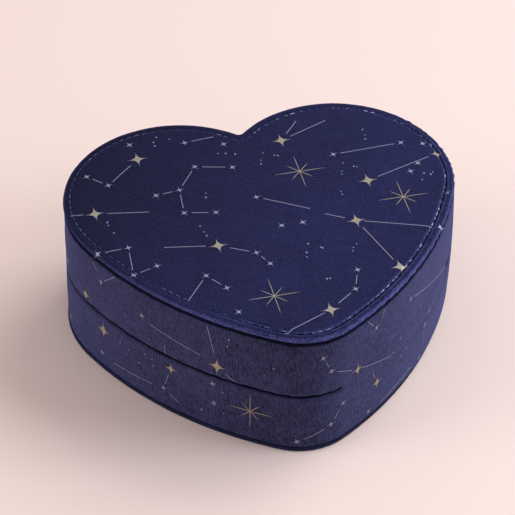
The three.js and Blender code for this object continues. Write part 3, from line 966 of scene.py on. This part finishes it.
TOP_DOTS = [
    (-29, 48.5), (-29, 46.5), (-27.5, 51), (-23.5, 49), (-9.5, 38), (-7, 37.5), (-4, 36.5),
    (5, 35), (3.5, 31.5), (3, 29.5), (8.5, 33), (9.5, 32.5), (40.5, 39.5), (40.5, 36.5), (40, 34.5),
    (29.5, 24), (32.5, 21.5), (33.5, 21), (28, 20), (27.5, 18.5), (25, 10), (25, 8.5),
    (-18, 19), (-18.5, 17), (-23.5, 3.5), (-23, 0.5), (-22.5, -1.5), (-52, 12), (-52, 10.5), (-51, 6.5),
    (8, -12.5), (11.5, -15), (12, -15.5), (6.5, -16.5), (6, -18.5), (23, -16), (21.5, -17.5), (21, -19),
    (9.5, -30), (10.5, -30), (54, 13), (52.5, 10), (57, 13), (56, 12),
]

# On the walls the places are arc length from the tip, and height.
LID_CHAINS = [
    [("small", -79.5, 38.5), ("end", -72.8, 45)],
    [("end", -83.5, 44.6), ("end", -81.5, 42)],
    [("medium", -88, 27.2)],
    [("small", -61, 35.9)],
    [("end", -57.5, 34.2), ("end", -38.7, 31.2)],
    [("large", -32.5, 28.9), ("end", -26.5, 24.8)],
    [("end", -36, 44.4), ("end", -33.6, 34)],
    [("end", -52, 28.4), ("end", -51.5, 25)],
    [("small", 2, 39.9), ("small", 5, 33.4), ("medium", 16, 27.6)],
    [("small", 24.3, 39.8), ("end", 20, 45)],
    [("end", 28.2, 45), ("end", 27, 41.6)],
    [("small", 75.5, 26.8), ("small", 43.5, 38)],
]
LID_DOTS = [(-28.5, 41.9), (-29, 38.9), (-13.5, 34.9), (-16.5, 30.9), (38, 25.4)]
BASE_CHAINS = [
    [("small", -80, 7.4)],
    [("end", -74.5, 6.6), ("end", -57, 8.5)],
    [("small", -52.5, 9.4), ("medium", -49.5, 19.4)],
    [("large", -79, 17.9)],
    [("gap", -52.5, 9.4), ("end", -46.5, 6)],
    [("small", -33.5, 12.4)],
    [("small", -34, 20.7)],
    [("small", 10, 16.9), ("small", 5.5, 9.9), ("small", -5.5, 4.6)],
    [("end", 23.5, 20.9), ("medium", 26, 14.9)],
    [("small", 58.5, 20.8)],
    [("small", 55.5, 17.2), ("end", 54.8, 6.5)],
    [("small", 53.5, 4.2)],
    [("end", 28.5, 3.8), ("end", 47, 5.2)],
    [("small", 22.5, 4.4)],
]
BASE_BURSTS = [(-21, 13.9)]
BASE_DOTS = [
    (-67, 17.4), (-62.5, 14.4), (-60, 19.9), (-56.5, 16.9), (-57, 19.4), (-71, 17.9), (39.5, 16.5),
    (42.5, 17.5), (48, 13.5), (33, 18), (34, 22), (-38, 7.4), (-30, 9.4), (-30.5, 18.4),
]
HINGE_CHAINS = [[("gap", 16, 27.6), ("end", 33, 21.4)]]


def motif_from(outline, x, y, rings):
    """Points and faces that fill an outline round (x, y), ring by ring out from its middle."""
    points = [(x, y)]
    for share in np.linspace(0, 1, rings + 1)[1:]:
        points += [(x + share * u, y + share * v) for u, v in outline]
    count = len(outline)
    faces = [(0, 1 + j, 1 + (j + 1) % count) for j in range(count)]
    for i in range(rings - 1):
        low, high = 1 + i * count, 1 + (i + 1) * count
        for j in range(count):
            k = (j + 1) % count
            faces.append((low + j, high + j, high + k, low + k))
    return points, faces


def star(x, y, size):
    """A four-pointed star with hollow sides. The small ones lean over, each by its own angle."""
    reach_x, reach_y, hollow = STARS[size]
    lean = math.radians(18 + 12 * math.sin(7 * x + 3 * y)) if size == "small" else 0.0
    outline = []
    for angle in np.radians(np.arange(0, 360, 15)):
        u, v = (math.copysign(abs(w) ** hollow, w) for w in (math.cos(angle), math.sin(angle)))
        outline.append(reach_x * u * towards(lean) + reach_y * v * towards(lean + math.pi / 2))
    return motif_from(outline, x, y, 4)


def burst(x, y, rays):
    """Four long rays and four short ones between them."""
    outline = []
    root = LINE_W / 2 / math.sin(math.radians(22.5))
    for k in range(8):
        ray = towards(math.radians(45 * k))
        side = np.array([-ray[1], ray[0]])
        length = rays[k % 2]
        outline.append(root * towards(math.radians(45 * k - 22.5)))
        outline.append(ray * length * 0.7 - side * LINE_W * 0.45)
        outline.append(ray * length)
        outline.append(ray * length * 0.7 + side * LINE_W * 0.45)
    return motif_from(outline, x, y, 5)


def dot(x, y):
    radius = 0.29 + 0.06 * math.sin(5 * x + 3 * y)
    return motif_from([radius * towards(a) for a in np.linspace(0, 2 * math.pi, 9)[:-1]], x, y, 1)


def thin_line(start, end):
    """A line between two places, cut square at its ends."""
    start, end = np.array(start), np.array(end)
    length = np.linalg.norm(end - start)
    side = np.array([start[1] - end[1], end[0] - start[0]]) / length * LINE_W / 2
    count = max(2, round(length / 1.2)) + 1
    middle = [start + (end - start) * share for share in np.linspace(0, 1, count)]
    points = [p + side for p in middle] + [p - side for p in middle]
    return points, [(i, count + i, count + i + 1, i + 1) for i in range(count - 1)]


def foil_motifs(chains, bursts, dots, rays):
    """The big stars and bursts, then the small stars, dots and lines between them."""
    drawn = {kind: [] for kind in [*STARS, "gap", "end"]}
    for kind, x, y in (place for chain in chains for place in chain):
        if kind in STARS:
            drawn[kind].append(star(x, y, kind))
    stars = drawn["large"] + drawn["medium"] + [burst(*place, rays) for place in bursts]
    lines = drawn["small"] + [dot(*place) for place in dots]
    for chain in chains:
        for (kind_a, *a), (kind_b, *b) in zip(chain, chain[1:]):
            a, b = np.array(a), np.array(b)
            way = (b - a) / np.linalg.norm(b - a)
            lines.append(thin_line(a + way * STAR_GAP[kind_a], b - way * STAR_GAP[kind_b]))
    return stars, lines


def foil_print(name, motifs, surface, body, material):
    """Lays flat motifs on a surface as a thin closed film, as surface(places, lift) puts them."""
    points, faces = [], []
    for flat, flat_faces in motifs:
        count = len(flat)
        base = len(points)
        points.extend(surface(np.array(flat, float), FOIL_LIFT))
        points.extend(surface(np.array(flat, float), -FOIL_SINK))
        edges = {(f[i], f[(i + 1) % len(f)]) for f in flat_faces for i in range(len(f))}
        film = [tuple(f) for f in flat_faces]
        film += [tuple(v + count for v in reversed(f)) for f in flat_faces]
        film += [(b, a, a + count, b + count) for a, b in sorted(edges) if (b, a) not in edges]
        faces.extend(tuple(v + base for v in f) for f in film)
    return add_mesh(name, points, faces, material, body, smooth_shade=False)


def on_top(places, lift):
    places = places + PRINT_SHIFT
    insets, s = locate(places)
    return np.column_stack([places, TOP_Z + TOP_COVER.height(insets, s) + lift])


def on_wall(places, lift):
    found = []
    for s, z in places:
        wall = BASE_WALL if z < SEAM_Z else LID_WALL
        level = min(abs(z - wall.foot), wall.height - 0.6)
        inset = wall.inset(s, level)
        if abs(z - SEAM_Z) < HINGE_REACH and abs(s - HINGE_S) < HINGE_HALF:
            inset = min(inset, hinge_face(s, z))
        found.append([*wall_point(s, inset - lift)[0], z])
    return np.array(found)


def back_print(low, high, seed):
    """The same print carried on round the lobes and the notch, in groups of three stars."""
    random = np.random.default_rng(seed)
    chains, dots = [], []
    for side in (-1, 1):
        for k, s in enumerate((108, 127, 146, 165)):
            place = [side * (s + step + random.uniform(-1, 1)) for step in (-6, 1, 7)]
            level = [random.uniform(low + 3, high - 3) for _ in range(3)]
            level[1] = low + high - (level[0] + level[2]) / 2
            level[1] = min(max(level[1], low + 3.2), high - 3.2)
            kinds = [("small", "large", "small"), ("medium", "small", "small")][k % 2]
            chains.append([(kind, u, v) for kind, u, v in zip(kinds, place, level)])
            dots += [(side * (s + 11), level[0]), (side * (s + 12.5), level[0] + 1.5)]
    return chains, dots


def build_print():
    stars, lines = foil_motifs(TOP_CHAINS, TOP_BURSTS, TOP_DOTS, BURST_RAYS)
    foil_print("foil_stars_on_top", stars, on_top, "lid", TOP_FOIL)
    foil_print("foil_lines_on_top", lines, on_top, "lid", TOP_LINE_FOIL)
    walls = {
        "lid": (LID_RIM, LID_Z, LID_CHAINS, (), LID_DOTS, 7),
        "base": (BASE_Z, BASE_RIM, BASE_CHAINS, BASE_BURSTS, BASE_DOTS, 19),
    }
    for body, (low, high, chains, bursts, dots, seed) in walls.items():
        back_chains, back_dots = back_print(low, high, seed)
        stars, lines = foil_motifs(chains + back_chains, bursts, dots + back_dots, WALL_BURST_RAYS)
        foil_print(f"foil_stars_on_{body}_wall", stars, on_wall, body, WALL_FOIL)
        foil_print(f"foil_lines_on_{body}_wall", lines, on_wall, body, WALL_LINE_FOIL)
    lines = foil_motifs(HINGE_CHAINS, (), (), WALL_BURST_RAYS)[1]
    crossing = foil_print("foil_lines_over_hinge", lines, on_wall, None, WALL_LINE_FOIL)
    bend_at_hinge(crossing, VELVET_BEND)


# -------- tray in the base

# The line of quilting round a pad: its inset, depth and reach.
QUILTING = 9.0
QUILT_DEPTH = 0.45
QUILT_REACH = 0.7

# The ring rolls: the rounding and the number of gathers of their ends, and their seam's depth and place.
ROLL_END_R = 2.2
ROLL_GATHERS = 14
ROLL_SEAM = 0.35
ROLL_SEAM_AT = 250


def loop_section(half_width, low, high, corner, steps=5):
    """A rounded rectangle's points [across, z]."""
    points = []
    corner = min(corner, half_width, (high - low) / 2)
    for k, (x, z) in enumerate(((1, 1), (-1, 1), (-1, -1), (1, -1))):
        centre = (x * (half_width - corner), high - corner if z > 0 else low + corner)
        for angle in np.radians(np.linspace(90 * k, 90 * k + 90, steps)):
            points.append((centre[0] + corner * math.cos(angle), centre[1] + corner * math.sin(angle)))
    return points


def stretched(sections, origin, way, across):
    """A closed solid from sections [(distance, [[across, z], ...]), ...] along a way in plan."""
    rings = []
    for distance, section in sections:
        rings.append(np.array([[*(origin + way * distance + across * x), z] for x, z in section]))
    points, faces = skin_of(rings)
    first = points[list(faces[0])]
    facing = np.cross(first[1] - first[0], first[2] - first[0])
    return points, turned(faces, np.dot(facing, first.mean(0) - points.mean(0)) <= 0)


def end_rounding(length, radius, steps):
    """Distances along a piece, with how far its surface draws in at each: rounded at both ends."""
    ends = []
    for angle in np.radians(np.linspace(5, 90, steps)):
        ends.append((radius * (1 - math.cos(angle)), radius * (1 - math.sin(angle))))
    count = max(2, round((length - 2 * radius) / 2.0))
    middle = [(d, 0.0) for d in np.linspace(radius, length - radius, count + 1)[1:-1]]
    return ends + middle + [(length - d, draw) for d, draw in reversed(ends)]


def build_roll(index):
    """A ring roll: velour round a foam core, its ends gathered and tucked in."""
    node = f"ring_roll_{index}"
    low, high = cad(node)
    middle = (low + high) / 2
    radius = (high[1] - low[1]) / 2
    sections = []
    for distance, draw in end_rounding(high[0] - low[0], ROLL_END_R, 8):
        lump = 0.07 * math.sin(0.31 * distance + index) + 0.05 * math.sin(0.83 * distance + 2 * index)
        section = []
        for angle in np.radians(np.arange(0, 360, 9)):
            seam = ROLL_SEAM * bell(math.degrees(angle), ROLL_SEAM_AT, 6)
            gathers = 0.12 * draw * math.sin(ROLL_GATHERS * angle)
            r = radius - 0.11 - draw - seam + gathers + lump * math.sin(angle + distance / 9)
            section.append((r * math.cos(angle), middle[2] + r * math.sin(angle)))
        sections.append((distance, section))
    start = np.array([low[0], middle[1]])
    points, faces = stretched(sections, start, np.array([1.0, 0]), np.array([0, 1.0]))
    roll = velour(f"ring_cushion_{index}", points, faces, "base", node)


def build_divider(node):
    """A board wrapped in velour, soft along its top edge."""
    low, high = cad(node)
    size = high - low
    lengthwise = 0 if size[0] > size[1] else 1
    way, across = np.eye(2)[lengthwise], np.eye(2)[1 - lengthwise]
    start = (low[:2] + high[:2]) / 2 - way * size[lengthwise] / 2
    half = size[1 - lengthwise] / 2
    sections = []
    for distance, draw in end_rounding(size[lengthwise], 0.9, 5):
        sections.append((distance, loop_section(half - draw, low[2] + draw / 2, high[2] - draw, 1.25)))
    points, faces = stretched(sections, start, way, across)
    velour(f"{node}_wrapped", points, faces, "base", node)


def heart_pad(name, node, face_z, back_z, body):
    """A lined foam pad that fills the outline, with soft edges and a line of quilting round it."""
    inset = inset_of(node)
    up = math.copysign(1, face_z - back_z)
    back = HEART.ring(inset + 0.5, back_z)
    rings = [shrunk(back, 0.4), shrunk(back, 0.8), back]
    for angle in np.radians(np.linspace(0, 90, 7)):
        rings.append(HEART.ring(inset + 1 - math.cos(angle), face_z - up * (1 - math.sin(angle))))
    soft = 0.06 + 0.05 * wobble(HEART.s, [9, 15, 22], 61)
    for at in np.linspace(inset + 1.4, QUILTING + 3, 14):
        rings.append(HEART.ring(at, face_z - up * (QUILT_DEPTH * bell(at, QUILTING, QUILT_REACH) + soft)))
    edge = rings[-1]
    for share in (0.88, 0.74, 0.6, 0.46, 0.32, 0.2, 0.1):
        inner = shrunk(edge, share)
        inner[:, 2] = face_z - up * (0.06 + 0.05 * np.sin(inner[:, 0] / 7) * np.cos(inner[:, 1] / 6))
        rings.append(inner)
    points, faces = skin_of(rings)
    pad = velour(name, points, turned(faces, up < 0), body, node)


def build_tray():
    heart_pad("floor_cushion", "base_floor_pad", FLOOR_Z, BASE_Z, "base")
    for index in range(1, 5):
        build_roll(index)
    for node in ("divider_behind_rolls", "divider_before_rolls", "divider_between_lobes"):
        build_divider(node)


# -------- fittings in the lid

# The pocket: distances from the hinge, how far the cloth may stand from the lid, and the depths of its
# sag and folds. Its hem has rucks of its own.
MOUTH = 47.0
HEM = (47.3, 51.3)
POCKET_INSET = 7.0
POCKET_T = 0.6
POCKET_DEPTHS = (0.35, 5.7)
POCKET_SAG = 4.6
PLEATS = 27
PLEAT_DEPTH = 0.32
HEM_HALF_T = 0.35
RUCKS = 64
RUCK_DEPTH = 0.16

# The necklace tabs: distances from the hinge and along it. The tail is what the anchor holds. The press
# studs are profiles [radius, height].
TAB_ROOT = 100.0
TABS_AT = (-24.0, -8.0, 8.0)
STRAP_L = 18.0
STRAP_HALF = 4.0
STRAP_TAIL = 0.9
ANCHOR_L = 4.0
STUD_AT = TAB_ROOT - STRAP_L + 4.1
CAP_FACE = [
    (0.6, 0.22), (1.1, 0.16), (1.5, 0.04), (2.1, 0.0), (2.7, 0.08), (3.1, 0.25), (3.3, 0.42), (3.45, 0.4),
    (3.58, 0.5), (3.6, 0.7),
]
CAP_BACK = [(3.5, 0.05), (3.1, 0.15), (1.0, 0.2)]
SOCKET_FACE = [
    (0.4, 0.4), (1.0, 0.4), (1.15, 0.1), (1.35, 0.0), (1.7, 0.0), (1.9, 0.12), (2.2, 0.3), (2.6, 0.32),
    (2.85, 0.42),
]
SOCKET_BACK = [(2.85, 0.0), (1.0, 0.1)]


def plan_from_hinge(inset):
    """The outline at an inset, as distances along the hinge and away from it."""
    ring = HEART.at(inset) - HINGE_AT
    return ring @ ALONG, ring @ AWAY


def mouth_ends(away):
    """Where a line parallel to the hinge crosses the pocket's outline, as two distances along it."""
    along, out = plan_from_hinge(POCKET_INSET)
    crossings = []
    for a, u, b, v in zip(along, out, np.roll(along, -1), np.roll(out, -1)):
        if (u - away) * (v - away) < 0:
            crossings.append(a + (away - u) / (v - u) * (b - a))
    return min(crossings), max(crossings)


def pocket_sag(t):
    """How far the pocket hangs at its mouth, from end to end of the mouth."""
    return 0.5 + POCKET_SAG * np.sin(math.pi * np.clip(t, 0, 1)) ** 0.45


def build_pocket():
    """A gathered pouch sewn round the hinge side, drawn in along its mouth by an elastic hem."""
    top = cad("pocket_pouch")[1][2]
    left, right = mouth_ends(MOUTH)
    t = np.linspace(0, 1, 241)
    mouth = np.array([from_hinge(along, MOUTH) for along in left + (right - left) * t])
    edge = pocket_edge(len(t))
    phase = 2 * math.pi * PLEATS * t + 1.3 * np.sin(6 * math.pi * t) + 0.8 * np.sin(14 * math.pi * t)
    fold = np.cos(phase) + 0.35 * np.cos(2.3 * phase + 1)
    flat_ends = np.minimum(1, 6 * np.sin(math.pi * t))
    below, above = [], []
    for w in np.linspace(0, 1, 19):
        place = mouth * (1 - w) + edge * w
        sag = 0.45 + (pocket_sag(t) - 0.45) * (1 - w) ** 0.75
        depth = np.clip(sag + PLEAT_DEPTH * fold * (0.35 + 0.65 * (1 - w)) * flat_ends, *POCKET_DEPTHS)
        below.append(np.column_stack([place, top - depth]))
        above.append(np.column_stack([place, top - np.clip(depth - POCKET_T, 0.0, None)]))
    points, faces = strip_of(below + above[::-1])
    pouch = velour("pocket_cloth", points, faces, "lid", "pocket_pouch")
    hem = build_hem(top)


def pocket_edge(columns):
    """The pocket's sewn edge, from the left end of its mouth round by the hinge to the right end."""
    along, out = plan_from_hinge(POCKET_INSET)
    below = out < MOUTH
    first = np.flatnonzero(below & ~np.roll(below, 1))[0]
    path = np.roll(np.column_stack([along, out]), -first, axis=0)[: below.sum()]
    if path[0, 0] > path[-1, 0]:
        path = path[::-1]
    left, right = mouth_ends(MOUTH)
    path = np.array([(left, MOUTH), *path, (right, MOUTH)])
    length = np.concatenate([[0], np.cumsum(np.linalg.norm(np.diff(path, axis=0), axis=1))])
    wanted = np.linspace(0, length[-1], columns)
    u, v = (np.interp(wanted, length, path[:, axis]) for axis in (0, 1))
    return np.array([from_hinge(a, b) for a, b in zip(u, v)])


def build_hem(top):
    """The elastic in its gathered casing, along the pocket's mouth."""
    middle = sum(HEM) / 2
    half = (HEM[1] - HEM[0]) / 2
    left, right = mouth_ends(middle)
    sections = []
    for share in np.linspace(0, 1, 321):
        ruck = RUCK_DEPTH * math.cos(2 * math.pi * RUCKS * share + 2 * math.sin(40 * share))
        taper = min(1.0, 40 * min(share, 1 - share) + 0.2)
        level = top - pocket_sag(share) - ruck
        width = half * (1 + 0.3 * ruck) * taper
        section = loop_section(width, level - HEM_HALF_T, level + HEM_HALF_T, HEM_HALF_T - 0.01)
        sections.append(((right - left) * share, section))
    points, faces = stretched(sections, from_hinge(left, middle), ALONG, AWAY)
    return add_mesh("pocket_hem", points, faces, ELASTIC, "lid", ["pocket_elastic"])


def build_strap(index):
    """A necklace tab's strap, which hangs from its anchor to a rounded free end."""
    node = f"tab_strap_{index}"
    low, high = (corner[2] for corner in cad(node))
    along = TABS_AT[index - 1]
    round_from = STRAP_TAIL + STRAP_L - STRAP_HALF
    end = round_from + STRAP_HALF * np.sin(np.radians(np.linspace(8, 89.5, 12)))
    sections = []
    for distance in [*np.linspace(0, 2.2, 12), *np.linspace(2.8, 14.9, 14), *end]:
        half = math.sqrt(max(STRAP_HALF**2 - max(0.0, distance - round_from) ** 2, 0.04))
        soft = 0.04 * math.sin(distance + index)
        sections.append((distance, loop_section(half, low + soft, high + soft, 0.45, 4)))
    points, faces = stretched(sections, from_hinge(along, TAB_ROOT + STRAP_TAIL), -AWAY, ALONG)
    strap = velour(f"tab_strap_cloth_{index}", points, faces, None, node)
    start, end = (Vector([*from_hinge(along, TAB_ROOT + away), low]) * MM for away in (0.5, -0.6))
    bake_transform(strap)
    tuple(start)
    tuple(end)


def build_anchor(index):
    """The fold of velour that holds a strap's root to the lid."""
    node = f"tab_anchor_{index}"
    low = cad(f"tab_strap_{index}")[0][2] + 0.05
    top = cad(node)[1][2]
    sections = []
    for distance, draw in end_rounding(ANCHOR_L, 0.5, 4):
        sections.append((distance, loop_section(STRAP_HALF - draw, low + draw, top, 0.5, 4)))
    start = from_hinge(TABS_AT[index - 1], TAB_ROOT + 0.3)
    points, faces = stretched(sections, start, AWAY, ALONG)
    velour(f"tab_anchor_cloth_{index}", points, faces, "lid", node)


def build_stud(index, part, name, face, back, body):
    """A half of a press stud, turned about a vertical line. face and back are profiles [radius, height],
    over the lowest and the highest level of the CAD piece."""
    node = f"tab_stud_{part}_{index}"
    low, high = (corner[2] for corner in cad(node))
    profile = [(radius, low + z) for radius, z in face] + [(radius, high + z) for radius, z in back]
    centre = from_hinge(TABS_AT[index - 1], STUD_AT)
    turns = np.linspace(0, 2 * math.pi, 40, endpoint=False)
    circle = np.column_stack([np.cos(turns), np.sin(turns)])
    rings = [np.column_stack([centre + radius * circle, np.full(40, z)]) for radius, z in profile]
    points, faces = skin_of(rings)
    faces = turned(faces, profile[0][1] > profile[-1][1])
    add_mesh(f"tab_stud_{name}_{index}", points, faces, STUD, body, [node])


def build_tab(index):
    build_strap(index)
    build_anchor(index)
    build_stud(index, "cap", "face", CAP_FACE, CAP_BACK, f"tab_{index}")
    build_stud(index, "socket", "ring", SOCKET_FACE, SOCKET_BACK, "lid")


def build_lid_fittings():
    heart_pad("ceiling_cushion", "lid_inner_pad", CEILING_Z, LID_Z, "lid")
    build_pocket()
    for index in (1, 2, 3):
        build_tab(index)


# -------- camera, light and floor

CAMERA_AZIMUTH = 14.63
CAMERA_ELEVATION = 41.43
CAMERA_ROLL = 1.07
CAMERA_DISTANCE = 889.3
CAMERA_LENS = 187.6
AIM = (-1.3, 14.4, 21.8)


def add_camera():
    data = bpy.data.cameras.new("camera")
    data.lens = CAMERA_LENS
    data.sensor_width = 36
    data.clip_end = 10
    camera = bpy.data.objects.new("camera", data)
    bpy.context.scene.collection.objects.link(camera)
    azimuth = math.radians(CAMERA_AZIMUTH)
    level, up = towards(math.radians(CAMERA_ELEVATION))
    back = Vector((-math.sin(azimuth) * level, -math.cos(azimuth) * level, up))
    camera.location = (Vector(AIM) + back * CAMERA_DISTANCE) * MM
    turn = back.to_track_quat("Z", "Y").to_matrix()
    camera.rotation_euler = (turn @ Matrix.Rotation(math.radians(CAMERA_ROLL), 3, "Z")).to_euler()
    bpy.context.scene.camera = camera


def add_light(name, place, size, power, colour):
    """A square soft light of that size, turned towards the case."""
    data = bpy.data.lights.new(name, "AREA")
    data.shape = "RECTANGLE"
    data.size = data.size_y = size
    data.energy = power
    data.color = colour
    light = bpy.data.objects.new(name, data)
    bpy.context.scene.collection.objects.link(light)
    light.location = place
    light.rotation_euler = (Vector(place) - Vector((0, 0, 0.02))).to_track_quat("Z", "Y").to_euler()


def add_studio():
    half = 4000.0
    corners = [(-half, -half, 0), (half, -half, 0), (half, half, 0), (-half, half, 0)]
    pale = Shader("floor", linear(237, 216, 210), 0.85).material
    add_mesh("floor", corners, [(0, 1, 2, 3)], pale)
    world = bpy.data.worlds.new("studio")
    world.use_nodes = True
    sky = world.node_tree.nodes["Background"]
    sky.inputs["Color"].default_value = (1.0, 0.95, 0.92, 1)
    sky.inputs["Strength"].default_value = 0.5
    bpy.context.scene.world = world
    add_light("key", (1.4, 0.6, 1.6), 1.4, 25.5, (1.0, 0.985, 0.97))
    add_light("right", (0.7, -0.26, 0.42), 0.35, 4.0, (0.8, 0.9, 1.0))
    add_light("left", (-1.4, 0.0, 0.4), 0.8, 9.5, (1.0, 0.95, 0.98))
    bpy.context.scene.view_settings.view_transform = "Standard"


# -------- all of it

add_camera()
add_studio()
finish_cad_nodes()
build_panels()
build_walls()
build_hinge()
build_print()
build_tray()
build_lid_fittings()
